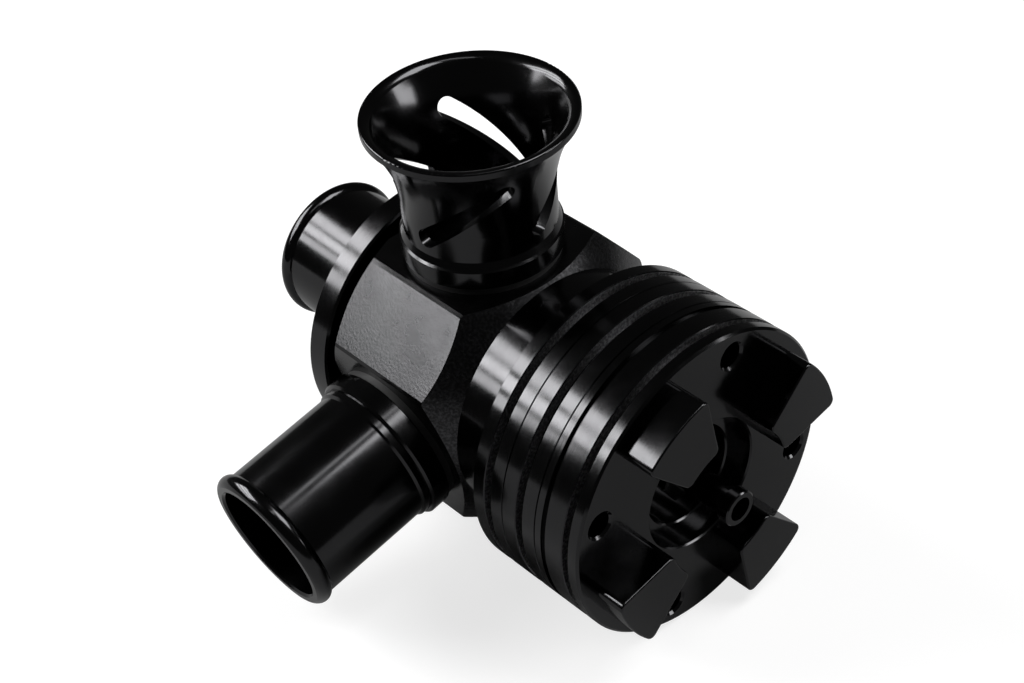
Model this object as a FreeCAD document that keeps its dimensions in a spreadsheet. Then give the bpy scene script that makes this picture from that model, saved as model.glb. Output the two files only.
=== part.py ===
import FreeCAD, Part
import math
import os
import re
import Sketcher

# Twin-outlet piston blow off valve, millimetres.
# +X runs along the piston axis from the inlet spigot to the end cap, and +Z along the vent trumpet.
# The side spigot points near -Y, turned about X by port_angle from +Z.
# Sizes along X are measured from the trumpet's axis, where the three axes meet. The finished pieces
# then move along X together, so that the origin is where the inlet hose stops on its flange.

Vector = FreeCAD.Vector
Rotation = FreeCAD.Rotation
Placement = FreeCAD.Placement

SIZES = [
    # hose spigots and ports
    ("tube_radius", 12.5, "outside of both hose spigots, for a 25 mm hose"),
    ("port_radius", 10.8, "bore of both spigots and of the ports behind them"),
    ("bead_length", 3.0, "rounded hose bead at a spigot's end"),
    ("bead_curve", 1.7, "radius of the bead's rounded section"),
    ("bead_end_radius", 12.2, "edge of the spigot's end face"),
    ("edge_break", 0.4, "small chamfer on turned edges"),
    ("shank_radius", 12.15, "threaded shank of a port fitting"),
    ("socket_gap", 0.05, "clearance of a thread or a spigot in its socket"),
    ("socket_depth", 6.0, "depth of a port socket below its flat"),
    ("port_angle", 100.0, "side spigot's turn about the piston axis, from the trumpet"),
    ("port_seal_height", 1.3, "rubber ring under a port fitting's collar"),
    ("port_seal_radius", 13.2, "outside of that ring"),
    ("collar_radius", 13.7, "collar of a port fitting"),
    ("collar_height", 3.7, "collar thickness"),
    ("step_radius", 12.95, "small step in front of the collar"),
    ("step_height", 1.2, "length of that step"),
    ("side_length", 29.8, "side spigot's end, above its flat"),
    ("inlet_reach", 45.1, "inlet spigot's end, from the trumpet axis"),
    ("inlet_flange_radius", 25.35, "flange ring of the inlet spigot"),
    ("inlet_flange_thick", 4.7, "flange ring thickness"),
    ("inlet_shank_radius", 13.1, "inlet spigot's shank in the body"),
    # block
    ("turned_radius", 27.5, "body, barrel and cap over their turned skin"),
    ("flat_cut", 4.5, "depth milled off for a port flat"),
    ("bevel_cut", 1.2, "depth milled off for the flats between the port flats"),
    ("edge_cut", 0.48, "depth milled off for the narrow chamfers between flats"),
    ("block_half", 11.0, "full block, each side of the trumpet axis"),
    ("block_rear", 13.4, "block's rear face, behind the trumpet axis"),
    ("block_rear_radius", 24.9, "rear face's outer edge"),
    ("rear_neck_radius", 16.0, "neck between the block and the inlet flange"),
    ("rear_neck_length", 1.2, "length of the bare neck"),
    ("inlet_seal_thick", 0.8, "flat seal between the neck and the inlet flange"),
    ("cone_end", 15.6, "front end of the block's turned cone, where the neck begins"),
    ("waist_radius", 22.6, "neck between the block's cone and the barrel"),
    # barrel
    ("barrel_length", 25.0, "neck and barrel, up to the joint with the cap"),
    ("groove_depth", 2.0, "depth of the wide grooves"),
    ("groove_width", 1.5, "width of the barrel's wide grooves"),
    ("groove_one_inset", 12.0, "first wide groove, in front of the neck's start"),
    ("groove_two_inset", 5.8, "second wide groove, behind the joint"),
    ("line_width", 0.3, "fine turned lines"),
    ("barrel_neck_length", 9.4, "neck, up to the barrel's rear edge"),
    ("line_two_inset", 8.8, "second fine line, behind the joint"),
    ("line_three_inset", 1.4, "third fine line, behind the joint"),
    ("groove_edge", 0.15, "edges of the wide grooves, broken"),
    # piston bore
    ("bore_radius", 15.0, "cylinder that the piston slides in"),
    ("seat_face", 11.2, "valve seat, behind the trumpet axis"),
    ("seat_thick", 2.0, "seat web thickness"),
    ("plug_radius", 18.95, "cap's threaded plug"),
    ("plug_length", 6.6, "length of that plug"),
    # end cap
    ("seam_width", 1.0, "relief groove at the joint"),
    ("seam_depth", 0.6, "depth of that relief"),
    ("cap_groove_inset", 2.25, "cap's wide groove, behind its face"),
    ("cap_groove_width", 1.2, "width of the cap's groove"),
    ("cap_thick", 8.15, "cap, from the joint to its flat face"),
    ("recess_radius", 11.7, "outer step of the centre recess"),
    ("recess_depth", 3.0, "depth of the outer step"),
    ("recess_edge", 0.25, "edges of the recess and of its step, broken"),
    ("well_radius", 9.0, "deep part of the centre recess"),
    ("well_depth", 7.25, "depth of the centre recess below the face"),
    ("pocket_radius", 12.0, "spring pocket inside the cap"),
    ("cap_web", 3.0, "wall between the centre recess and the spring pocket"),
    ("lug_inset", 2.3, "lugs stand this far inside the cap's rim"),
    ("lug_inner", 12.9, "castellated lugs, inner radius"),
    ("lug_height", 6.2, "lugs stand this far off the face"),
    ("lug_sweep", 33.0, "angle that one lug covers"),
    ("lug_angle", 27.0, "first lug's middle, from +Z towards the side spigot"),
    ("lug_corner", 1.2, "rounding of the lugs' upright corners"),
    ("lug_edge", 0.3, "rounding of their top edges"),
    ("lug_count", 4, "lugs and spanner holes"),
    ("hole_radius", 2.2, "pin spanner holes in the face"),
    ("hole_inset", 4.2, "holes' centres, inside the cap's rim"),
    ("hole_depth", 6.0, "depth of the holes"),
    ("cap_seal_wire", 0.78, "half thickness of the cap's O-ring"),
    ("cap_seal_inset", 1.6, "cap O-ring groove, from the plug's end"),
    ("cap_seal_width", 1.8, "cap O-ring groove width"),
    ("cap_seal_floor", 17.4, "cap O-ring groove floor radius"),
    # vacuum nipple
    ("nipple_bore", 2.1, "air way through the nipple"),
    ("nipple_shank", 3.15, "nipple's thread in the cap"),
    ("nipple_base", 5.0, "nipple's hexagon base, circumscribed radius"),
    ("nipple_base_height", 3.0, "height of that base"),
    ("nipple_seal_thick", 0.8, "washer under the base"),
    ("nipple_tube", 2.5, "nipple tube, for a 5 mm hose"),
    ("nipple_lip", 3.14, "nipple's end bead"),
    ("nipple_lip_length", 2.4, "length of the bead"),
    ("nipple_reach", 8.25, "nipple's tip, in front of the cap's face"),
    # trumpet
    ("trumpet_length", 26.8, "trumpet's mouth, above its flat"),
    ("mouth_radius", 17.73, "trumpet's mouth over the lip"),
    ("lip_height", 1.3, "band of the lip"),
    ("lip_step", 0.4, "lip stands proud of the flare"),
    ("lip_curve", 0.3, "rounding of the lip's outer edge"),
    ("rim_drop", 1.0, "the mouth's inside is rounded from this far below its top"),
    ("rim_curve", 2.1, "radius of that rounding"),
    ("neck_radius", 12.9, "trumpet's straight neck"),
    ("neck_foot", 13.4, "foot of the sloped step below the neck"),
    ("neck_length", 11.0, "flare begins this high above the flat"),
    ("trumpet_wall", 1.7, "trumpet wall"),
    ("slot_count", 4, "helical slots around the trumpet"),
    ("slot_width", 3.4, "slot width"),
    ("slot_relief", 0.01, "straight walls stand this far inside the round ends"),
    ("slot_rise", 9.4, "a slot's lower end centre, above the flat"),
    ("slot_inset", 7.0, "a slot's upper end centre, below the mouth"),
    ("slot_start", -83.0, "first slot's lower end, angle about Z from +X"),
    ("slot_sweep", 61.0, "angle that a slot climbs through"),
    # piston
    ("piston_gap", 0.05, "piston's running clearance on the radius"),
    ("travel", 12.0, "piston travel from the seat to the stop"),
    ("stop_gap", 0.4, "piston skirt to the cap's plug at full travel"),
    ("piston_floor", 4.0, "piston crown thickness"),
    ("piston_pocket", 11.9, "spring pocket in the piston"),
    ("seal_gap", 0.05, "nose seal just clear of the seat, and spring ends of their seats"),
    ("nose_seal_thick", 1.5, "nose seal"),
    ("nose_seal_radius", 13.0, "nose seal's outside"),
    ("nose_hole", 2.6, "hole through the nose seal, washer and crown"),
    ("nose_washer_radius", 9.5, "nose washer"),
    ("nose_washer_thick", 1.1, "nose washer thickness"),
    ("screw_radius", 2.5, "nose screw thread"),
    ("screw_head_radius", 4.25, "nose screw head"),
    ("screw_head_height", 5.0, "nose screw head height"),
    ("screw_hex", 2.3, "hexagon socket, circumscribed radius"),
    ("screw_hex_depth", 2.6, "hexagon socket depth"),
    ("ring_groove_floor", 13.3, "piston ring grooves' floor radius"),
    ("ring_groove_width", 2.0, "piston ring grooves' width"),
    ("ring_land", 1.2, "land behind the last ring groove"),
    ("ring_pitch", 3.0, "spacing of the seal and guide ring grooves"),
    ("ring_gap", 0.03, "seals and guide ring just clear of the bore"),
    ("ring_wire", 0.82, "half thickness of the piston O-rings"),
    # spring
    ("spring_wire", 1.0, "half thickness of the spring wire"),
    ("spring_coil", 10.2, "spring coil, mean radius"),
    ("spring_turns", 8, "turns"),
    ("shim_thick", 0.4, "preload shim"),
    ("shim_count", 2, "preload shims"),
    ("shim_radius", 11.8, "preload shims and spring seat"),
    ("spring_seat_thick", 1.2, "spring seat's flange"),
    ("spring_seat_boss", 8.9, "boss that centres the spring"),
    ("spring_seat_boss_height", 2.4, "height of that boss"),
    ("air_hole", 4.0, "hole through the spring seat and shims"),
]

DERIVED = [
    ("flat_height", "turned_radius - flat_cut", "port flats, from the piston axis"),
    ("bevel_height", "turned_radius - bevel_cut", "flats between them, from the piston axis"),
    ("edge_flat_height", "turned_radius - edge_cut", "narrow chamfers, from the piston axis"),
    ("socket_floor", "flat_height - socket_depth", "bottom of a port socket"),
    ("side_reach", "flat_height + side_length", "side spigot's end, from the piston axis"),
    ("barrel_start", "cone_end", "where the neck begins"),
    ("barrel_end", "barrel_start + barrel_length", "joint between barrel and cap"),
    ("barrel_rear", "barrel_start + barrel_neck_length", "barrel's rear edge"),
    ("groove_one", "barrel_start + groove_one_inset", "first wide groove's rear wall"),
    ("line_two", "barrel_end - line_two_inset", "second fine line"),
    ("groove_two", "barrel_end - groove_two_inset", "second wide groove's rear wall"),
    ("line_three", "barrel_end - line_three_inset", "third fine line"),
    ("plug_start", "barrel_end - plug_length", "plug's inner end"),
    ("cap_seal_groove", "plug_start + cap_seal_inset", "cap O-ring groove, inner wall"),
    ("cap_face", "barrel_end + cap_thick", "cap's flat face"),
    ("cap_groove", "cap_face - cap_groove_inset - cap_groove_width", "cap's wide groove, rear wall"),
    ("well_floor", "cap_face - well_depth", "floor of the centre recess"),
    ("pocket_floor", "well_floor - cap_web", "floor of the spring pocket"),
    ("nipple_end", "cap_face + nipple_reach", "nipple's tip"),
    ("lug_outer", "turned_radius - lug_inset", "lugs' outer radius"),
    ("hole_circle", "turned_radius - hole_inset", "radius of the circle of holes"),
    ("trumpet_height", "flat_height + trumpet_length", "trumpet's mouth, from the piston axis"),
    ("flare_start", "flat_height + neck_length", "height at which the flare begins"),
    ("flare_top", "trumpet_height - lip_height - lip_step / 2", "height at which it meets the lip"),
    ("flare_rise", "flare_top - flare_start", "height of the flare"),
    ("flare_run", "mouth_radius - lip_step - neck_radius", "how far the flare opens"),
    ("flare_curve", "(flare_rise ^ 2 + flare_run ^ 2) / (2 * flare_run)", "radius of its outline"),
    ("slot_low", "flat_height + slot_rise", "height of a slot's lower end centre"),
    ("slot_high", "trumpet_height - slot_inset", "height of a slot's upper end centre"),
    ("piston_end", "plug_start - travel - stop_gap", "piston skirt's end with the valve closed"),
    ("ring_groove_three", "piston_end - ring_land - ring_groove_width", "rear seal groove"),
    ("ring_groove_two", "ring_groove_three - ring_pitch", "guide ring groove"),
    ("ring_groove_one", "ring_groove_two - ring_pitch", "front seal groove"),
]

DOC = FreeCAD.newDocument("BlowOffValve")
SHEET = DOC.addObject("Spreadsheet::Sheet", "Sizes")
ROWS = {}
FORMULAS = [(alias, f"={formula}", meaning) for alias, formula, meaning in DERIVED]
for row, (alias, size, meaning) in enumerate(SIZES + FORMULAS, 1):
    SHEET.set(f"A{row}", str(size))
    SHEET.setAlias(f"A{row}", alias)
    SHEET.set(f"B{row}", meaning)
    ROWS[alias] = row
DOC.recompute()


def linked(text):
    """the same expression with every size name pointing into the sheet"""
    def swap(found):
        word = found.group(0)
        return f"Sizes.{word}" if word in ROWS else word
    return re.sub(r"[a-z_]+", swap, str(text))


def number(text):
    """the present value of an expression of sizes"""
    return float(SHEET.evalExpression(linked(text)))


def bind(thing, **sizes):
    for name, text in sizes.items():
        thing.setExpression(name, linked(text))


def turned(label, axis, outline, angle=None):
    """a body turned about X or Z from a closed outline of (along, radius) corners;
    a corner with two more entries is reached by an arc of that radius, bulging to that side"""
    body = DOC.addObject("PartDesign::Body", label)
    sketch = body.newObject("Sketcher::SketchObject", label + "_outline")
    role = "XY_Plane" if axis == "X" else "XZ_Plane"
    plane = [part for part in body.Origin.OriginFeatures if part.Role == role][0]
    sketch.AttachmentSupport = (plane, [""])
    sketch.MapMode = "FlatFace"

    def spot(corner):
        along, radius = number(corner[0]), number(corner[1])
        return Vector(along, radius, 0) if axis == "X" else Vector(radius, along, 0)

    count = len(outline)
    for place, corner in enumerate(outline):
        start, end = spot(outline[place - 1]), spot(corner)
        if len(corner) == 2:
            sketch.addGeometry(Part.LineSegment(start, end), False)
            continue
        sketch.addGeometry(arc_between(start, end, number(corner[2]), corner[3]), False)
    for place, corner in enumerate(outline):
        follower = (place + 1) % count
        edge = sketch.Geometry[place]
        curved = isinstance(edge, Part.ArcOfCircle)
        end_mark = nearer_end(edge, spot(corner)) if curved else 2
        next_edge = sketch.Geometry[follower]
        next_curved = isinstance(next_edge, Part.ArcOfCircle)
        start_mark = nearer_end(next_edge, spot(corner)) if next_curved else 1
        sketch.addConstraint(Sketcher.Constraint("Coincident", place, end_mark, follower, start_mark))
        across, up = (corner[0], corner[1]) if axis == "X" else (corner[1], corner[0])
        for kind, text in (("DistanceX", across), ("DistanceY", up)):
            if str(text) == "0":
                line = -2 if kind == "DistanceX" else -1
                sketch.addConstraint(Sketcher.Constraint("PointOnObject", place, end_mark, line))
                continue
            made = sketch.addConstraint(
                Sketcher.Constraint(kind, -1, 1, place, end_mark, number(text)))
            sketch.setExpression(f"Constraints[{made}]", linked(text))
        if curved:
            made = sketch.addConstraint(Sketcher.Constraint("Radius", place, number(corner[2])))
            sketch.setExpression(f"Constraints[{made}]", linked(corner[2]))
    turn = body.newObject("PartDesign::Revolution", label + "_turned")
    turn.Profile = sketch
    turn.ReferenceAxis = (sketch, ["H_Axis" if axis == "X" else "V_Axis"])
    turn.Angle = 360
    sketch.Visibility = False
    if angle is not None:
        body.Placement = Placement(Vector(), Rotation(Vector(1, 0, 0), number(angle)))
    return body


def arc_between(start, end, curve, bulge):
    """the shorter arc of a radius from start to end; bulge 1 swells to the left, -1 to the right"""
    chord = end - start
    half = chord.Length / 2
    left = Vector(-chord.y, chord.x, 0).normalize()
    centre = (start + end) * 0.5 - left * bulge * math.sqrt(max(curve * curve - half * half, 0.0))
    first = math.atan2(start.y - centre.y, start.x - centre.x)
    last = math.atan2(end.y - centre.y, end.x - centre.x)
    if (last - first) % (2 * math.pi) > math.pi:
        first, last = last, first
    circle = Part.Circle(centre, Vector(0, 0, 1), curve)
    return Part.ArcOfCircle(circle, first, last)


def nearer_end(arc, point):
    first = (arc.StartPoint - point).Length
    last = (arc.EndPoint - point).Length
    return 1 if first < last else 2


def clock(degrees):
    """direction across the piston axis at an angle from +Z towards -Y"""
    turn = math.radians(degrees)
    return Vector(0, -math.sin(turn), math.cos(turn))


def rod(name, radius, length, base, facing):
    """a plain cylinder from a base point along a direction"""
    piece = DOC.addObject("Part::Cylinder", name)
    bind(piece, Radius=radius, Height=length)
    piece.Placement = Placement(base, Rotation(Vector(0, 0, 1), facing))
    return piece


def flat(name, height, degrees):
    """the stock milled away above one flat of the block"""
    piece = DOC.addObject("Part::Box", name)
    bind(piece, Length="block_rear + cone_end + 2", Width="2 * turned_radius", Height="turned_radius / 2")
    turn = Rotation(Vector(1, 0, 0), degrees)
    corner = Vector(-number("block_rear") - 1, -number("turned_radius"), number(height))
    piece.Placement = Placement(turn.multVec(corner), turn)
    return piece


def joined(label, pieces):
    whole = DOC.addObject("Part::MultiFuse", label)
    whole.Shapes = pieces
    return whole


def carved(label, base, tools):
    rest = DOC.addObject("Part::Cut", label)
    rest.Base = base
    rest.Tool = tools[0] if len(tools) == 1 else joined(label + "_tools", tools)
    return rest


def ring(label, minor, major, along):
    """an O-ring about the piston axis"""
    piece = DOC.addObject("Part::Torus", label)
    bind(piece, Radius1=major, Radius2=minor)
    piece.Placement = Placement(Vector(number(along), 0, 0), Rotation(Vector(0, 1, 0), 90))
    return piece


def washer(label, low, high, inner, outer):
    """a flat ring about the piston axis"""
    return turned(label, "X", [(low, inner), (low, outer), (high, outer), (high, inner)])


def barrel_grooves():
    """outline of the barrel's skin in front of its taper: fine lines and wide grooves"""
    fine = "turned_radius - line_width"
    skin = "turned_radius"
    marks = []
    for kind, place in (("groove", "groove_one"), ("line", "line_two"), ("groove", "groove_two"),
                        ("line", "line_three")):
        if kind == "line":
            marks += [(f"{place} - line_width / 2", skin), (place, fine), (f"{place} + line_width / 2", skin)]
        else:
            marks += wide_groove(place, "groove_width")
    return marks


def wide_groove(place, width):
    """outline of one wide groove, with its two edges broken"""
    deep = "turned_radius - groove_depth"
    broken = "turned_radius - groove_edge"
    return [
        (f"{place} - groove_edge", "turned_radius"), (place, broken), (place, deep),
        (f"{place} + {width}", deep), (f"{place} + {width}", broken),
        (f"{place} + {width} + groove_edge", "turned_radius"),
    ]


def make_body():
    rear = "block_rear + rear_neck_length"
    outline = [
        (f"-({rear})", "inlet_shank_radius + socket_gap"), (f"-({rear})", "rear_neck_radius"),
        ("-block_rear", "rear_neck_radius"), ("-block_rear", "block_rear_radius"),
        ("-block_half", "turned_radius"), ("block_half", "turned_radius"),
        ("cone_end", "waist_radius"), ("barrel_rear", "waist_radius"),
        ("barrel_rear", "turned_radius - groove_edge"), ("barrel_rear + groove_edge", "turned_radius"),
    ]
    outline += barrel_grooves()
    outline += [
        ("barrel_end", "turned_radius"), ("barrel_end", "plug_radius + socket_gap"),
        ("plug_start", "plug_radius + socket_gap"), ("plug_start", "bore_radius"),
        ("-seat_face", "bore_radius"), ("-seat_face", "port_radius"),
        ("-seat_face - seat_thick", "port_radius"),
        ("-seat_face - seat_thick", "inlet_shank_radius + socket_gap"),
    ]
    billet = turned("billet", "X", outline)
    side = number("port_angle")
    half = side / 2
    cuts = []
    for place, degrees in enumerate((0, side, -side)):
        cuts.append(flat(f"port_flat_{place}", "flat_height", degrees))
    for place, degrees in enumerate((half, -half, side + half, -side - half)):
        cuts.append(flat(f"bevel_flat_{place}", "bevel_height", degrees))
    for place, degrees in enumerate((half / 2, side - half / 2, side + half / 2)):
        cuts.append(flat(f"edge_flat_{place}", "edge_flat_height", degrees))
        cuts.append(flat(f"edge_flat_far_{place}", "edge_flat_height", -degrees))
    port_start = number("bore_radius") * 0.8
    for name, degrees in (("vent", 0), ("side", side)):
        way = clock(degrees)
        cuts.append(rod(name + "_port", "port_radius", "flat_height", way * port_start, way))
        cuts.append(rod(name + "_socket", "shank_radius + socket_gap", "flat_height",
                        way * number("socket_floor"), way))
    return carved("valve_body", billet, cuts)


def lug(place):
    """one castellation on the cap's face, a sector of a ring with rounded edges"""
    middle = number("lug_angle") + 360 / number("lug_count") * place
    start = middle - number("lug_sweep") / 2 + 180
    sector = DOC.addObject("Part::Cylinder", f"lug_sector_{place}")
    bind(sector, Radius="lug_outer", Height="lug_height + 1", Angle="lug_sweep")
    upright = Rotation(Vector(0, 1, 0), 90)
    base = Vector(number("cap_face - 1"), 0, 0)
    sector.Placement = Placement(base, upright.multiply(Rotation(Vector(0, 0, 1), start)))
    core = rod(f"lug_core_{place}", "lug_inner", "lug_height + 2", base, Vector(1, 0, 0))
    block = carved(f"lug_block_{place}", sector, [core])
    DOC.recompute()
    rounded = DOC.addObject("Part::Fillet", f"lug_{place}")
    rounded.Base = block
    tip = number("cap_face + lug_height")
    edges = []
    for count, edge in enumerate(block.Shape.Edges, 1):
        box = edge.BoundBox
        on_tip = box.XMin > tip - 0.001
        lengthwise = box.XLength > 1
        if on_tip or lengthwise:
            curve = number("lug_corner" if lengthwise else "lug_edge")
            edges.append((count, curve, curve))
    rounded.Edges = edges
    return rounded


def make_cap():
    seal_end = "cap_seal_groove + cap_seal_width"
    outline = [
        ("plug_start", "pocket_radius"), ("plug_start", "plug_radius"),
        ("cap_seal_groove", "plug_radius"), ("cap_seal_groove", "cap_seal_floor"),
        (seal_end, "cap_seal_floor"), (seal_end, "plug_radius"), ("barrel_end", "plug_radius"),
        ("barrel_end", "turned_radius - seam_depth"),
        ("barrel_end + seam_width", "turned_radius - seam_depth"),
        ("barrel_end + seam_width", "turned_radius"),
    ]
    outline += wide_groove("cap_groove", "cap_groove_width")
    outline += [
        ("cap_face - edge_break", "turned_radius"), ("cap_face", "turned_radius - edge_break"),
        ("cap_face", "recess_radius + recess_edge"), ("cap_face - recess_edge", "recess_radius"),
        ("cap_face - recess_depth", "recess_radius"),
        ("cap_face - recess_depth", "well_radius + recess_edge"),
        ("cap_face - recess_depth - recess_edge", "well_radius"), ("well_floor", "well_radius"),
        ("well_floor", "nipple_shank + socket_gap"), ("pocket_floor", "nipple_shank + socket_gap"),
        ("pocket_floor", "pocket_radius"),
    ]
    disc = turned("cap_disc", "X", outline)
    count = int(number("lug_count"))
    crowned = joined("cap_crowned", [disc] + [lug(place) for place in range(count)])
    holes = []
    for place in range(count):
        degrees = number("lug_angle") + 360 / count * (place + 0.5)
        start = clock(degrees) * number("hole_circle") + Vector(number("cap_face - hole_depth"), 0, 0)
        holes.append(rod(f"spanner_hole_{place}", "hole_radius", "hole_depth + 1", start, Vector(1, 0, 0)))
        mouth = DOC.addObject("Part::Cone", f"spanner_hole_mouth_{place}")
        bind(mouth, Radius1="hole_radius", Radius2="hole_radius + edge_break", Height="edge_break")
        rim = start + Vector(number("hole_depth - edge_break"), 0, 0)
        mouth.Placement = Placement(rim, Rotation(Vector(0, 0, 1), Vector(1, 0, 0)))
        holes.append(mouth)
    carved("end_cap", crowned, holes)
    ring("cap_seal", "cap_seal_wire", "cap_seal_floor + cap_seal_wire", "cap_seal_groove + cap_seal_width / 2")


def make_nipple():
    base = "well_floor + nipple_seal_thick"
    top = f"{base} + nipple_base_height"
    lip = "nipple_end - nipple_lip_length"
    outline = [
        ("pocket_floor", "nipple_bore"), ("pocket_floor", "nipple_shank"), (base, "nipple_shank"),
        (base, "nipple_base"), (top, "nipple_base"), (top, "nipple_tube"), (lip, "nipple_tube"),
        (f"{lip} + edge_break", "nipple_lip"), ("nipple_end - edge_break / 2", "nipple_lip"),
        ("nipple_end", "nipple_lip - edge_break / 2"), ("nipple_end", "nipple_bore"),
    ]
    blank = turned("nipple_blank", "X", outline)
    across = number("nipple_base") * math.cos(math.pi / 6)
    cuts = []
    for place in range(6):
        way = clock(60 * place)
        side = DOC.addObject("Part::Box", f"nipple_flat_{place}")
        bind(side, Length="nipple_base_height", Width="2 * nipple_base", Height="nipple_base")
        turn = Rotation(Vector(1, 0, 0), 60 * place)
        corner = Vector(number(base), -number("nipple_base"), across)
        side.Placement = Placement(turn.multVec(corner), turn)
        cuts.append(side)
    carved("vacuum_nipple", blank, cuts)
    washer("nipple_seal", "well_floor", base, "nipple_shank + socket_gap", "nipple_base * 0.85")


def fitting_foot(step_foot, step_top):
    """shank, collar and step of a port fitting, from the bore outwards"""
    seat = "flat_height + port_seal_height"
    shoulder = f"{seat} + collar_height"
    return [
        ("socket_floor", "port_radius"), ("socket_floor", "shank_radius"), (seat, "shank_radius"),
        (seat, "collar_radius - edge_break / 2"), (f"{seat} + edge_break / 2", "collar_radius"),
        (f"{shoulder} - edge_break", "collar_radius"), (shoulder, "collar_radius - edge_break"),
        (shoulder, step_foot), (f"{shoulder} + step_height", step_top),
    ]


def port_seal(label, angle=None):
    top = "flat_height + port_seal_height"
    outline = [("flat_height", "shank_radius + socket_gap"), ("flat_height", "port_seal_radius"),
               (top, "port_seal_radius"), (top, "shank_radius + socket_gap")]
    return turned(label, "Z", outline, angle)


def make_side_spigot():
    step = "flat_height + port_seal_height + collar_height + step_height"
    outline = fitting_foot("step_radius", "step_radius") + [
        (f"{step} + edge_break", "tube_radius"), ("side_reach - bead_length", "tube_radius"),
        ("side_reach", "bead_end_radius", "bead_curve", -1),
        ("side_reach", "port_radius + edge_break"), ("side_reach - edge_break", "port_radius"),
    ]
    turned("side_spigot", "Z", outline, "port_angle")
    port_seal("side_spigot_seal", "port_angle")


def make_inlet_spigot():
    face = "block_rear + rear_neck_length + inlet_seal_thick"
    back = f"{face} + inlet_flange_thick"
    outline = [
        ("-seat_face - seat_thick", "port_radius"), ("-seat_face - seat_thick", "inlet_shank_radius"),
        (f"-({face})", "inlet_shank_radius"), (f"-({face})", "inlet_flange_radius - edge_break"),
        (f"-({face} + edge_break)", "inlet_flange_radius"),
        (f"-({back} - edge_break)", "inlet_flange_radius"),
        (f"-({back})", "inlet_flange_radius - edge_break"), (f"-({back})", "tube_radius"),
        ("-(inlet_reach - bead_length)", "tube_radius"),
        ("-inlet_reach", "bead_end_radius", "bead_curve", -1),
        ("-inlet_reach", "port_radius + edge_break"), ("-(inlet_reach - edge_break)", "port_radius"),
    ]
    turned("inlet_spigot", "X", outline)
    washer("inlet_seal", f"-({face})", "-(block_rear + rear_neck_length)",
           "inlet_shank_radius + socket_gap", "rear_neck_radius")


def flare_radius(height, wall=0.0):
    """outside of the flare at a height, or its inside where a wall is given"""
    rise = max(height - number("flare_start"), 0.0)
    curve = number("flare_curve") + wall
    return number("neck_radius") - wall + curve - math.sqrt(curve * curve - rise * rise)


def slot_cutter(place):
    """a cutter of constant width led round the flare, with round ends"""
    low, high = number("slot_low"), number("slot_high")
    sweep = number("slot_sweep")
    start = number("slot_start") + 360 / number("slot_count") * place
    half = number("slot_width") / 2
    inner, outer = number("port_radius") * 0.8, number("mouth_radius") * 1.2
    lead = Part.makeHelix((high - low) * 360 / sweep, high - low, 1.0)
    lead.Placement = Placement(Vector(0, 0, low), Rotation(Vector(0, 0, 1), start))
    turn = math.radians(start)
    outward = Vector(math.cos(turn), math.sin(turn), 0)
    onward = Vector(-math.sin(turn), math.cos(turn), 0)
    middle = (flare_radius(low) + flare_radius(high)) / 2
    climb = math.atan2(high - low, math.radians(sweep) * middle)
    across = (Vector(0, 0, math.cos(climb)) - onward * math.sin(climb)) * (half - number("slot_relief"))
    foot = Vector(0, 0, low)
    corners = [foot + outward * inner - across, foot + outward * outer - across,
               foot + outward * outer + across, foot + outward * inner + across]
    section = Part.makePolygon(corners + corners[:1])
    sweeper = Part.BRepOffsetAPI.MakePipeShell(Part.Wire(lead.Edges))
    sweeper.setBiNormalMode(Vector(0, 0, 1))
    sweeper.add(section)
    sweeper.build()
    sweeper.makeSolid()
    pieces = [sweeper.shape()]
    for height, degrees in ((low, start), (high, start + sweep)):
        way = Vector(math.cos(math.radians(degrees)), math.sin(math.radians(degrees)), 0)
        base = Vector(0, 0, height) + way * inner
        pieces.append(Part.makeCylinder(half, outer - inner, base, way))
    return pieces[0].fuse(pieces[1:])


def make_trumpet():
    step = "flat_height + port_seal_height + collar_height + step_height"
    inner_curve = "flare_curve + trumpet_wall"
    inner_low = "neck_radius - trumpet_wall"
    inner_high = "trumpet_height - rim_drop"
    inner_rise = f"({inner_high} - flare_start)"
    inner_top = f"{inner_low} + {inner_curve} - sqrt(({inner_curve}) ^ 2 - {inner_rise} ^ 2)"
    outline = fitting_foot("neck_foot", "neck_radius") + [
        ("flare_start", "neck_radius"),
        ("flare_top", "mouth_radius - lip_step", "flare_curve", 1),
        ("trumpet_height - lip_height", "mouth_radius"), ("trumpet_height - lip_curve", "mouth_radius"),
        ("trumpet_height", "mouth_radius - lip_curve", "lip_curve", -1),
        (inner_high, inner_top, "rim_curve", -1),
        ("flare_start", inner_low, inner_curve, -1),
        (step, inner_low), ("flat_height + port_seal_height + collar_height", "port_radius"),
    ]
    blank = turned("trumpet_blank", "Z", outline)
    DOC.recompute()
    cutters = [slot_cutter(place) for place in range(int(number("slot_count")))]
    slotted = DOC.addObject("Part::Feature", "vent_trumpet")
    slotted.Shape = blank.Shape.cut(cutters)
    reach = number("slot_high - slot_low")
    least = number("slot_count * slot_width * trumpet_wall") * reach
    if blank.Shape.Volume - slotted.Shape.Volume < least:
        raise RuntimeError("the slots were not cut along their whole length")
    port_seal("trumpet_seal")


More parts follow.
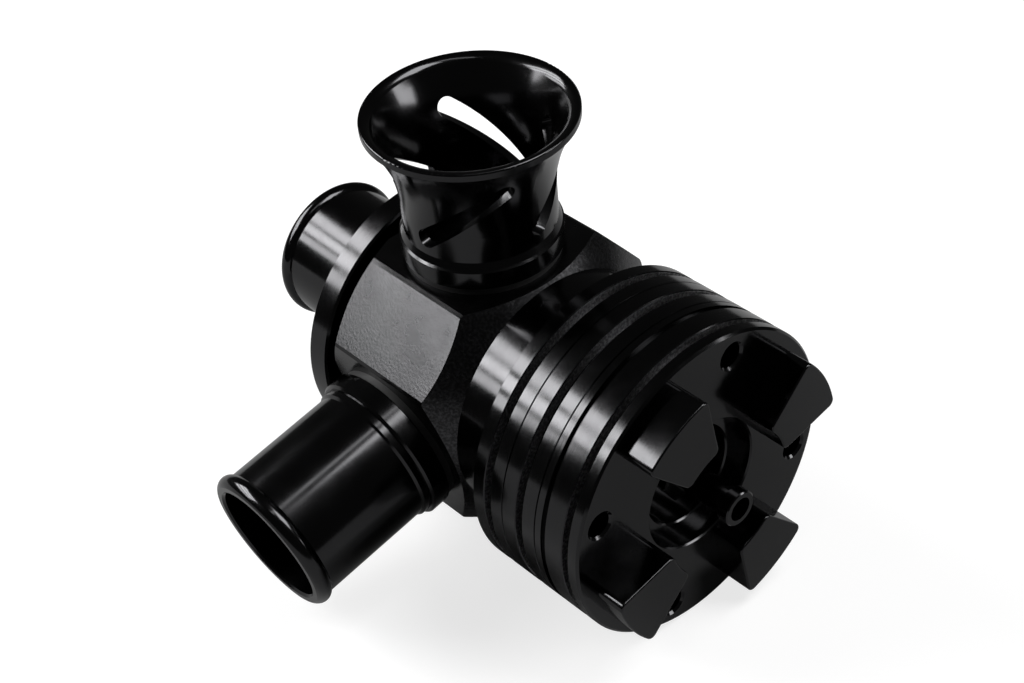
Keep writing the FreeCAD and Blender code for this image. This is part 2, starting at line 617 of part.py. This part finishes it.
def make_piston():
    nose = "seat_face - seal_gap - nose_seal_thick"
    floor = "ring_groove_floor"
    skin = "bore_radius - piston_gap"
    grooves = []
    for place in ("ring_groove_one", "ring_groove_two", "ring_groove_three"):
        end = f"{place} + ring_groove_width"
        grooves += [(place, skin), (place, floor), (end, floor), (end, skin)]
    outline = [
        (f"-({nose})", "nose_hole"), (f"-({nose})", f"{skin} - edge_break"),
        (f"-({nose}) + edge_break", skin),
    ]
    outline += grooves
    outline += [
        ("piston_end - edge_break", skin), ("piston_end", f"{skin} - edge_break"),
        ("piston_end", "piston_pocket"), (f"-({nose}) + piston_floor", "piston_pocket"),
        (f"-({nose}) + piston_floor", "nose_hole"),
    ]
    turned("piston", "X", outline)
    outside = "bore_radius - ring_gap"
    for label, place in (("piston_front_seal", "ring_groove_one"), ("piston_rear_seal", "ring_groove_three")):
        ring(label, "ring_wire", f"{outside} - ring_wire", f"{place} + ring_groove_width / 2")
    washer("piston_guide_ring", "ring_groove_two + seal_gap", "ring_groove_two + ring_groove_width - seal_gap",
           "ring_groove_floor", outside)
    make_nose()


def make_nose():
    """soft face, washer and screw on the piston's crown"""
    seal_face = "seat_face - seal_gap"
    nose = f"{seal_face} - nose_seal_thick"
    washer("nose_seal", f"-({seal_face})", f"-({nose})", "nose_hole", "nose_seal_radius")
    head = f"{seal_face} + nose_washer_thick"
    washer("nose_washer", f"-({head})", f"-({seal_face})", "nose_hole", "nose_washer_radius")
    outline = [
        (f"-({head} + screw_head_height)", "0"),
        (f"-({head} + screw_head_height)", "screw_head_radius - edge_break"),
        (f"-({head} + screw_head_height) + edge_break", "screw_head_radius"),
        (f"-({head})", "screw_head_radius"), (f"-({head})", "screw_radius"),
        (f"-({nose}) + piston_floor + edge_break", "screw_radius"),
        (f"-({nose}) + piston_floor + 2 * edge_break", "screw_radius - edge_break"),
        (f"-({nose}) + piston_floor + 2 * edge_break", "0"),
    ]
    blank = turned("screw_blank", "X", outline)
    socket = DOC.addObject("Part::Prism", "screw_socket")
    socket.Polygon = 6
    bind(socket, Circumradius="screw_hex", Height="screw_hex_depth + 1")
    start = number(f"-({head} + screw_head_height)") - 1
    socket.Placement = Placement(Vector(start, 0, 0), Rotation(Vector(0, 1, 0), 90))
    carved("nose_screw", blank, [socket])


def make_spring():
    wire = number("spring_wire")
    low = number("-(seat_face - seal_gap - nose_seal_thick) + piston_floor + seal_gap") + wire
    high = number("pocket_floor - shim_count * shim_thick - spring_seat_thick - seal_gap") - wire
    turns = number("spring_turns")
    coil = Part.makeLongHelix((high - low) / turns, high - low, number("spring_coil"), 0)
    start = Vector(number("spring_coil"), 0, 0)
    tangent = coil.Edges[0].tangentAt(coil.Edges[0].FirstParameter)
    section = Part.Wire(Part.makeCircle(wire, start, tangent))
    solid = Part.Wire(coil.Edges).makePipeShell([section], True, True)
    spring = DOC.addObject("Part::Feature", "main_spring")
    spring.Shape = solid
    spring.Placement = Placement(Vector(low, 0, 0), Rotation(Vector(0, 1, 0), 90))


def make_spring_seat():
    count = int(number("shim_count"))
    back = f"pocket_floor - {count} * shim_thick"
    front = f"{back} - spring_seat_thick"
    tip = f"{front} - spring_seat_boss_height"
    turned("spring_seat", "X", [
        (tip, "air_hole"), (tip, "spring_seat_boss - edge_break"), (f"{tip} + edge_break", "spring_seat_boss"),
        (front, "spring_seat_boss"), (front, "shim_radius"), (back, "shim_radius"), (back, "air_hole"),
    ])
    for place in range(count):
        low = f"pocket_floor - {place + 1} * shim_thick"
        high = f"pocket_floor - {place} * shim_thick"
        washer(f"preload_shim_{place + 1}", low, high, "air_hole", "shim_radius")


NODES = [
    "valve_body", "end_cap", "cap_seal", "vacuum_nipple", "nipple_seal", "inlet_spigot", "inlet_seal",
    "side_spigot", "side_spigot_seal", "vent_trumpet", "trumpet_seal", "piston", "piston_front_seal",
    "piston_rear_seal", "piston_guide_ring", "nose_seal", "nose_washer", "nose_screw", "main_spring",
    "spring_seat",
]


def main():
    make_body()
    make_cap()
    make_nipple()
    make_side_spigot()
    make_inlet_spigot()
    make_trumpet()
    make_piston()
    make_spring()
    make_spring_seat()
    names = NODES + [f"preload_shim_{place + 1}" for place in range(int(number("shim_count")))]
    hose_stop = "block_rear + rear_neck_length + inlet_seal_thick + inlet_flange_thick"
    for name in names:
        piece = DOC.getObject(name)
        bind(piece, **{"Placement.Base.x": f"{piece.Placement.Base.x} + {hose_stop}"})
    DOC.recompute()
    for thing in DOC.Objects:
        if "Invalid" in thing.State or "Error" in thing.State:
            raise RuntimeError(f"{thing.Name} did not build: {thing.State}")
    for name in names:
        shape = DOC.getObject(name).Shape
        if shape.isNull() or not shape.isValid() or not shape.Solids:
            raise RuntimeError(f"{name} has no valid solid")
    os.makedirs("parts", exist_ok=True)
    for name in names:
        shape = DOC.getObject(name).Shape
        shape.exportStep(f"parts/{name}.step")
        box = shape.BoundBox
        print(f"{name:20s} solids {len(shape.Solids)} volume {shape.Volume:9.1f} "
              f"x {box.XMin:6.2f}..{box.XMax:6.2f} y {box.YMin:6.2f}..{box.YMax:6.2f} z {box.ZMin:6.2f}..{box.ZMax:6.2f}")


main()
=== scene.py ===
# %% [markdown]
# # A piston blow off valve in black anodised aluminium
# The valve vents boost from a turbocharged engine's intake. Its pieces were modelled as solids first.
# Here they get their finish, their lamps and a camera.
# The first cell loads the solids. Each is an object in metres, placed in the valve's own frame.

# %% Load the solids
import math
import bmesh
import bpy
from mathutils import Matrix, Vector


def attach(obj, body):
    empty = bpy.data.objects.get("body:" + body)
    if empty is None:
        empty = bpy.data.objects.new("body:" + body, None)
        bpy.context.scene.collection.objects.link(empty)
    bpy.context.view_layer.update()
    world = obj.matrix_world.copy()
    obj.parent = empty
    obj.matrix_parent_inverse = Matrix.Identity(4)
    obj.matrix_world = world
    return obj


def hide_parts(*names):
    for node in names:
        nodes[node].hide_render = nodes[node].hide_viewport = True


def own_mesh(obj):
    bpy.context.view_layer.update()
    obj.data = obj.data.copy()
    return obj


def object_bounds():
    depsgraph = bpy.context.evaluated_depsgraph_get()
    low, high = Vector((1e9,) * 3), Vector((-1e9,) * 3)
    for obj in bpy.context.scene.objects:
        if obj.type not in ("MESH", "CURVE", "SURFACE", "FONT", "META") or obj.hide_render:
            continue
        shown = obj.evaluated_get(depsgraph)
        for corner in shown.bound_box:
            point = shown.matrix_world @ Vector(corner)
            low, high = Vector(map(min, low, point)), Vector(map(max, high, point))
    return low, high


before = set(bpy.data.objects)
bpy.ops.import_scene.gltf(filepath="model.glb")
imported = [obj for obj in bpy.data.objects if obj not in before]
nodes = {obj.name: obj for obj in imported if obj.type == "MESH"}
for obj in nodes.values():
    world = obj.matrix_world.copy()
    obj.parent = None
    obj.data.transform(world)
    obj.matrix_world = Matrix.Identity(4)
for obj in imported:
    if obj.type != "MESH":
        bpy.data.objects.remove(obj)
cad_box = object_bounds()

MM = 0.001

# %% [markdown]
# ## Where things are
# X runs along the piston, Z along the trumpet. The frame's origin is on the inlet spigot, where the
# hose stops. The axes of the piston, the trumpet and the side spigot cross further along X, and the
# side spigot leans 10 degrees down from -Y. Most patterns below are turning marks round one of
# these three axes.

# %% Axes of the turned pieces
HOSE_STOP = 20.1 * MM
SIDE_TURN = math.radians(100)
crossing = Vector((HOSE_STOP, 0, 0))
piston_way = Vector((1, 0, 0))
side_way = Vector((0, -math.sin(SIDE_TURN), math.cos(SIDE_TURN)))
trumpet_way = Vector((0, 0, 1))
print("axes cross at", [round(c, 4) for c in crossing])

# %% [markdown]
# ## Three small helpers
# Colours are written as sRGB hex, the way a paint chart gives them, and Blender wants linear values.
# The second helper adds one shader node with its settings, values and links, which keeps each
# material short enough to read as a list of what the real surface is made of. The third starts a
# material with nothing in it.

# %% Colour and node helpers
def colour(text):
    """linear colour from an sRGB hex value"""
    parts = [int(text[i:i + 2], 16) / 255 for i in (1, 3, 5)]
    linear = [c / 12.92 if c <= 0.04045 else ((c + 0.055) / 1.055) ** 2.4 for c in parts]
    return (*linear, 1.0)


def add(tree, kind, inputs=None, **settings):
    """one node, with its settings, and with a value or a link for each input that is named"""
    node = tree.nodes.new(kind)
    for name, value in settings.items():
        setattr(node, name, value)
    for socket, value in (inputs or {}).items():
        if isinstance(value, bpy.types.NodeSocket):
            tree.links.new(value, node.inputs[socket])
        else:
            node.inputs[socket].default_value = value
    return node


def new_material(name):
    """a material with an empty node tree, and that tree"""
    look = bpy.data.materials.new(name)
    look.use_nodes = True
    look.node_tree.nodes.clear()
    return look, look.node_tree


print("middle grey #808080 is linear", [round(c, 4) for c in colour("#808080")[:3]])

# %% [markdown]
# ## The lathe's marks
# A lathe leaves fine rings round its axis, on the skin and on the faces alike. A ring is where the
# distance along the axis plus the distance from it stays the same, so this helper gives that sum
# for any point of a piece. One-dimensional noise of it then draws rings of uneven width.

# %% Ring coordinate
def lathe_rings(tree, way):
    """distance along an axis plus distance from it, in metres, and the place of each point"""
    place = add(tree, "ShaderNodeTexCoord").outputs["Object"]
    offset = add(tree, "ShaderNodeVectorMath", {0: place, 1: crossing},
                 operation="SUBTRACT").outputs["Vector"]
    along = add(tree, "ShaderNodeVectorMath", {0: offset, 1: way},
                operation="DOT_PRODUCT").outputs["Value"]
    foot = add(tree, "ShaderNodeVectorMath", {0: way, "Scale": along},
               operation="SCALE").outputs["Vector"]
    reach = add(tree, "ShaderNodeVectorMath", {0: offset, 1: foot},
                operation="DISTANCE").outputs["Value"]
    rings = add(tree, "ShaderNodeMath", {0: along, 1: reach}, operation="ADD").outputs["Value"]
    return rings, place


print("rings can run round", [tuple(round(c, 2) for c in way)
                              for way in (piston_way, side_way, trumpet_way)])

# %% [markdown]
# ## Metal finishes
# Every metal here is one recipe with other numbers: a colour, a roughness, and three kinds of marks.
# Rings come from the lathe. A finishing cut leaves them under 0.1 mm apart, too fine to show here,
# so they are drawn 0.3 mm apart. Smudges are the cloudiness of handled, oiled metal, some millimetres
# wide, and they only change how rough it looks. Grain is the pitted skin of a rough cut that no
# finishing pass went over. Where it stands proud a lighter colour can show: on the cone that is wear,
# and on the groove walls it is a painted highlight.

# %% One recipe for the metals
MARK_PITCH = 0.3 * MM
SMUDGE_SIZE = 8 * MM
GRAIN_SIZE = 0.45 * MM
GRAIN_DEPTH = 0.12 * MM
SMUDGE_FADE = (0.3, 0.7)
WEAR_AND_SHEEN_FADE = (0.42, 0.68)
MIX_FACTOR, MIX_FIRST, MIX_SECOND, MIX_COLOUR = 0, 6, 7, 2


def metal(name, tone, roughness, spread, way=piston_way, rings=0.0, grain=0.0, wear_and_sheen=None,
          depth=0.02 * MM):
    """a metal turned round the axis way; rings and grain say how strongly those marks show, depth how
    deep the rings are, spread how cloudy it is, and wear_and_sheen is the colour of the proud grain,
    wear on the cone and a painted highlight on the groove walls"""
    look, tree = new_material(name)
    line, place = lathe_rings(tree, way)
    marks = add(tree, "ShaderNodeTexNoise", {"W": line, "Scale": 1 / MARK_PITCH, "Detail": 2.0},
                noise_dimensions="1D").outputs["Fac"]
    clouds = add(tree, "ShaderNodeTexNoise", {"Vector": place, "Scale": 1 / SMUDGE_SIZE,
                                              "Detail": 4.0, "Roughness": 0.6}).outputs["Fac"]
    pits = add(tree, "ShaderNodeTexNoise", {"Vector": place, "Scale": 1 / GRAIN_SIZE,
                                            "Detail": 3.0}).outputs["Fac"]
    rough = add(tree, "ShaderNodeMapRange", {
        "Value": clouds, "From Min": SMUDGE_FADE[0], "From Max": SMUDGE_FADE[1],
        "To Min": roughness - spread, "To Max": roughness + spread}).outputs["Result"]
    ridged = add(tree, "ShaderNodeBump", {"Height": marks, "Strength": rings,
                                          "Distance": depth}).outputs["Normal"]
    pitted = add(tree, "ShaderNodeBump", {"Height": pits, "Strength": grain,
                                          "Distance": GRAIN_DEPTH, "Normal": ridged}).outputs["Normal"]
    tint = colour(tone)
    # pale spots on the proud grain: wear on the cone, painted highlight on the groove walls
    if wear_and_sheen:
        bare_and_sheen_spots = add(tree, "ShaderNodeMapRange", {
            "Value": pits, "From Min": WEAR_AND_SHEEN_FADE[0], "From Max": WEAR_AND_SHEEN_FADE[1]}).outputs["Result"]
        tint = add(tree, "ShaderNodeMix", {MIX_FACTOR: bare_and_sheen_spots, MIX_FIRST: colour(tone),
                                           MIX_SECOND: colour(wear_and_sheen)},
                   data_type="RGBA").outputs[MIX_COLOUR]
    surface = add(tree, "ShaderNodeBsdfPrincipled", {
        "Base Color": tint, "Metallic": 1.0, "Roughness": rough, "Normal": pitted})
    add(tree, "ShaderNodeOutputMaterial", {"Surface": surface.outputs["BSDF"]})
    return look


for mark, size in (("rings", MARK_PITCH), ("smudges", SMUDGE_SIZE), ("grain", GRAIN_SIZE)):
    print(mark, round(size / MM, 2), "mm")

# %% [markdown]
# ## Black anodised aluminium
# Anodising grows a hard, clear oxide on the metal, and a black dye fills its pores. The eye sees a
# deep black with crisp but weak reflections, and the machining underneath still shows. The shader is
# a metal with a near-black base colour: it reflects a few percent, and more at a glancing angle.
# The trumpet and the side spigot have finer marks than the body, and the milled flats have no rings.
# The raw cone is a rough cut, grainy, with lighter specks of wear. The groove walls take a grey
# tone with pale specks instead, a painted highlight that makes them look lit.

# %% Black finishes
DYE = "#3a3a3b"
turned_skin = metal("black_turned", DYE, roughness=0.14, spread=0.05, rings=0.10)
side_skin = metal("black_side_turned", DYE, roughness=0.15, spread=0.03, way=side_way, rings=0.08)
bright_skin = metal("black_polished", DYE, roughness=0.15, spread=0.03, way=trumpet_way, rings=0.05)
milled_skin = metal("black_milled", DYE, roughness=0.24, spread=0.06, grain=0.14)
raw_cone = metal("black_raw_cone", "#303031", roughness=0.28, spread=0.05, rings=0.2, grain=0.18,
                 wear_and_sheen="#4c4c4e")
# the groove walls' grey tone and pale specks are a painted highlight that makes them look lit
painted_highlight_wall = metal("black_wall_painted_highlight", "#7c7c7e", roughness=0.38, spread=0.05, rings=1.0, grain=0.6,
                 wear_and_sheen="#c4c4c6", depth=0.08 * MM)
print([m.name for m in (turned_skin, side_skin, bright_skin, milled_skin, raw_cone, painted_highlight_wall)])

# %% [markdown]
# ## Inner metals, rubber and plastic
# The piston and the spring seat are bare turned aluminium, the spring, shims, washer and screw are
# zinc-plated steel. The seals are nitrile rubber with a dull moulded skin, and the guide ring is
# slide plastic. Both of those get one recipe: patches 2 mm wide that are a little rougher and dented.

# %% Inner materials
PATCH_SIZE = 2 * MM
PATCH_SPREAD = 0.08
DENT_STRENGTH = 0.2
DENT_DEPTH = 0.03 * MM


def plain(name, tone, roughness):
    """a moulded material, slightly uneven in its roughness"""
    look, tree = new_material(name)
    place = add(tree, "ShaderNodeTexCoord").outputs["Object"]
    patches = add(tree, "ShaderNodeTexNoise", {"Vector": place, "Scale": 1 / PATCH_SIZE,
                                               "Detail": 3.0}).outputs["Fac"]
    rough = add(tree, "ShaderNodeMapRange", {
        "Value": patches, "To Min": roughness - PATCH_SPREAD,
        "To Max": roughness + PATCH_SPREAD}).outputs["Result"]
    dents = add(tree, "ShaderNodeBump", {"Height": patches, "Strength": DENT_STRENGTH,
                                         "Distance": DENT_DEPTH}).outputs["Normal"]
    surface = add(tree, "ShaderNodeBsdfPrincipled", {
        "Base Color": colour(tone), "Roughness": rough, "Normal": dents})
    add(tree, "ShaderNodeOutputMaterial", {"Surface": surface.outputs["BSDF"]})
    return look


bare = metal("bare_aluminium", "#d2d2d4", roughness=0.27, spread=0.05, rings=0.3)
steel = metal("zinc_steel", "#a9aaad", roughness=0.24, spread=0.06, rings=0.1)
rubber = plain("nitrile_rubber", "#161616", roughness=0.55)
slide = plain("slide_plastic", "#e6e1d6", roughness=0.4)
print([m.name for m in (bare, steel, rubber, slide)])

# %% [markdown]
# ## Dress the solids
# Each piece takes one material by what it is made of. A piece that isn't listed is a rubber seal.

# %% Dress the pieces
looks = {
    "valve_body": turned_skin, "end_cap": turned_skin, "inlet_spigot": turned_skin,
    "vacuum_nipple": turned_skin, "side_spigot": side_skin, "vent_trumpet": bright_skin,
    "piston": bare, "spring_seat": bare, "piston_guide_ring": slide,
    "main_spring": steel, "nose_washer": steel, "nose_screw": steel,
    "preload_shim_1": steel, "preload_shim_2": steel,
}
for name, piece in nodes.items():
    piece.data.materials.clear()
    piece.data.materials.append(looks.get(name, rubber))
print("rubber pieces:", sorted(set(nodes) - set(looks)))

# %% [markdown]
# ## The spring
# The main spring is the one piece that changes its shape. One end stands on the spring seat in the
# cap and the other follows the piston. A copy of it is shown, fixed to the housing, and the
# imported spring is hidden.

# %% Spring
spring = bpy.data.objects.new("coil_spring", nodes["main_spring"].data.copy())
bpy.context.scene.collection.objects.link(spring)
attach(spring, "housing")
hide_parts("main_spring")
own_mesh(spring)

# %% [markdown]
# ## Milled flats and raw cuts
# On the body the flats were milled after turning, so they show no rings. The cone in front of the
# flats and the rear walls of the grooves were cut with a rough tool and left. The groove walls also get
# a grey tone with pale specks, a painted highlight that makes them look lit. A face is told by
# which way it points, how far along the piston's axis it is, and how far from that axis.

# %% Faces with another finish
ALONG_AXIS = 0.01                    # a face whose normal has less X than this runs along the axis
FLAT_REACH = (20 * MM, 26.6 * MM)    # how far a flat lies from the axis
CONE_LEAN = (0.6, 0.95)              # how much of the cone's normal is X
CONE_PLACE = (10 * MM, 15.7 * MM)    # from the crossing, along X
WALL_FACING = 0.99                   # a groove's rear wall faces the cap
GROOVE_FLOOR = 25.4 * MM             # the walls stand outside this radius
GROOVE_PLACE = (20 * MM, 46 * MM)    # from the crossing, along X


def finish_of(centre, normal):
    """material slot of one face of the turned pieces: 0 turned, 1 milled, 2 raw cone, 3 groove wall
    with a painted highlight
    """
    out = centre - crossing
    reach = math.hypot(out.y, out.z)
    if abs(normal.x) < ALONG_AXIS and out.x < CONE_PLACE[1]:
        facing = out.y * normal.y + out.z * normal.z
        # a turned facet has its middle straight out along its normal, so there reach equals facing
        return 1 if FLAT_REACH[0] < facing < FLAT_REACH[1] and reach > facing else 0
    if CONE_LEAN[0] < normal.x < CONE_LEAN[1] and CONE_PLACE[0] < out.x < CONE_PLACE[1]:
        return 2
    # rear walls of the grooves: the finish with the painted highlight
    if normal.x > WALL_FACING and reach > GROOVE_FLOOR and GROOVE_PLACE[0] < out.x < GROOVE_PLACE[1]:
        return 3
    return 0


for name in ("valve_body", "end_cap"):
    mesh = nodes[name].data
    for look in (milled_skin, raw_cone, painted_highlight_wall):
        mesh.materials.append(look)
    counts = [0, 0, 0, 0]
    for face in mesh.polygons:
        face.material_index = finish_of(face.center, face.normal)
        counts[face.material_index] += 1
    print(name, "turned, milled, cone and wall faces:", counts)

# %% [markdown]
# ## Camera
# The camera stands where the photographer's did, found by fitting the circles of the spigots, the
# trumpet, the barrel and the cap. Its lens is the fitted focal length in pixels, turned to mm on a
# full-frame sensor.

# %% Camera
EYE_FROM_CROSSING = Vector((198.157, -155.711, 214.036)) * MM
TURN, TILT, ROLL = math.radians(51.17), math.radians(40.15), math.radians(-5.92)
FOCAL_PIXELS = 1898.99
PHOTO_WIDTH = 1024
SENSOR = 36

eye = crossing + EYE_FROM_CROSSING
back = Vector((math.sin(TURN) * math.cos(TILT), -math.cos(TURN) * math.cos(TILT), math.sin(TILT)))
level = Vector((math.cos(TURN), math.sin(TURN), 0))
above = back.cross(level)
right = level * math.cos(ROLL) + above * math.sin(ROLL)
up = above * math.cos(ROLL) - level * math.sin(ROLL)
camera_data = bpy.data.cameras.new("photo_camera")
camera_data.sensor_width = SENSOR
camera_data.lens = FOCAL_PIXELS / PHOTO_WIDTH * SENSOR
camera_data.clip_start = 10 * MM
camera = bpy.data.objects.new("photo_camera", camera_data)
bpy.context.scene.collection.objects.link(camera)
camera.matrix_world = Matrix(((right.x, up.x, back.x, eye.x), (right.y, up.y, back.y, eye.y),
                              (right.z, up.z, back.z, eye.z), (0, 0, 0, 1)))
bpy.context.scene.camera = camera
print("lens", round(camera_data.lens, 2), "mm")

# %% [markdown]
# ## Paper
# The valve stands on white paper that is exposed until it burns out, so only a faint shadow is left.
# The paper itself is a middle grey, which keeps it from lighting the valve, and it glows for the
# camera alone.

# %% Floor
FLOOR_RADIUS = 0.3
FLOOR_GAP = 0.05 * MM
PAPER_GLOW = 0.75
PAPER_TONE = "#9a9a9a"
floor_mesh = bpy.data.meshes.new("floor")
floor_shape = bmesh.new()
bmesh.ops.create_circle(floor_shape, cap_ends=True, segments=96, radius=FLOOR_RADIUS)
floor_shape.to_mesh(floor_mesh)
floor_shape.free()
floor = bpy.data.objects.new("floor", floor_mesh)
floor.location = (crossing.x, 0, cad_box[0][2] - FLOOR_GAP)
bpy.context.scene.collection.objects.link(floor)

paper, paper_tree = new_material("white_paper")
seen = add(paper_tree, "ShaderNodeLightPath").outputs["Is Camera Ray"]
lift = add(paper_tree, "ShaderNodeMath", {0: seen, 1: PAPER_GLOW},
           operation="MULTIPLY").outputs["Value"]
matte = add(paper_tree, "ShaderNodeBsdfDiffuse", {"Color": colour(PAPER_TONE)}).outputs["BSDF"]
glow = add(paper_tree, "ShaderNodeEmission", {"Color": colour("#ffffff"),
                                              "Strength": lift}).outputs["Emission"]
both = add(paper_tree, "ShaderNodeAddShader", {0: matte, 1: glow}).outputs["Shader"]
add(paper_tree, "ShaderNodeOutputMaterial", {"Surface": both})
floor_mesh.materials.append(paper)
print("floor at z", round(floor.location.z / MM, 2), "mm")

# %% [markdown]
# ## Lamps
# A tall key light at the photographer's left, between the two hose spigots, draws the bright patch on
# the barrel and the flat. It is three panels with gaps, and the gaps are the darker streaks in that
# patch. Two lamps at the right catch the cone, the grooves and the trumpet's inside, and a long one
# overhead puts the thin streak on the spigots.

# %% Lamps
KEY_AZIMUTH = -147
KEY_PANELS = ((23.5, 10), (34, 15), (44, 13))    # height in degrees and radiance of each


def softbox(name, azimuth, height, distance, width, tall, radiance):
    """an area lamp seen from the crossing of the axes at an azimuth and height in degrees"""
    a, h = math.radians(azimuth), math.radians(height)
    way = Vector((math.cos(a) * math.cos(h), math.sin(a) * math.cos(h), math.sin(h)))
    data = bpy.data.lights.new(name, "AREA")
    data.shape = "RECTANGLE"
    data.size = width
    data.size_y = tall
    data.energy = radiance * math.pi * width * tall
    lamp = bpy.data.objects.new(name, data)
    lamp.location = crossing + way * distance
    lamp.rotation_euler = way.to_track_quat("Z", "Y").to_euler()
    bpy.context.scene.collection.objects.link(lamp)


for panel, (height, radiance) in enumerate(KEY_PANELS):
    softbox(f"key_{panel}", KEY_AZIMUTH, height, distance=0.6, width=0.5, tall=0.078, radiance=radiance)
softbox("back_low", azimuth=42, height=17, distance=0.8, width=0.3, tall=0.2, radiance=8)
softbox("back_high", azimuth=45, height=60, distance=0.8, width=0.4, tall=0.4, radiance=8)
softbox("overhead", azimuth=0, height=80, distance=1.0, width=0.6, tall=0.07, radiance=4)
print("lamps:", [lamp.name for lamp in bpy.data.lights])

# %% [markdown]
# ## World
# Round the paper the camera sees white. To the valve the world is nearly dark, because a black skin
# that mirrors a white room all round looks grey.

# %% World
WORLD_LIGHT = 0.04
WORLD_WHITE = 1.1
world = bpy.data.worlds.new("studio")
bpy.context.scene.world = world
world.use_nodes = True
world_tree = world.node_tree
seen = add(world_tree, "ShaderNodeLightPath").outputs["Is Camera Ray"]
strength = add(world_tree, "ShaderNodeMapRange", {"Value": seen, "To Min": WORLD_LIGHT,
                                                  "To Max": WORLD_WHITE}).outputs["Result"]
backdrop = world_tree.nodes["Background"]
backdrop.inputs["Color"].default_value = colour("#ffffff")
world_tree.links.new(strength, backdrop.inputs["Strength"])
bpy.context.scene.view_settings.view_transform = "Standard"
print("world strength", WORLD_LIGHT, "for the valve and", WORLD_WHITE, "for the camera")
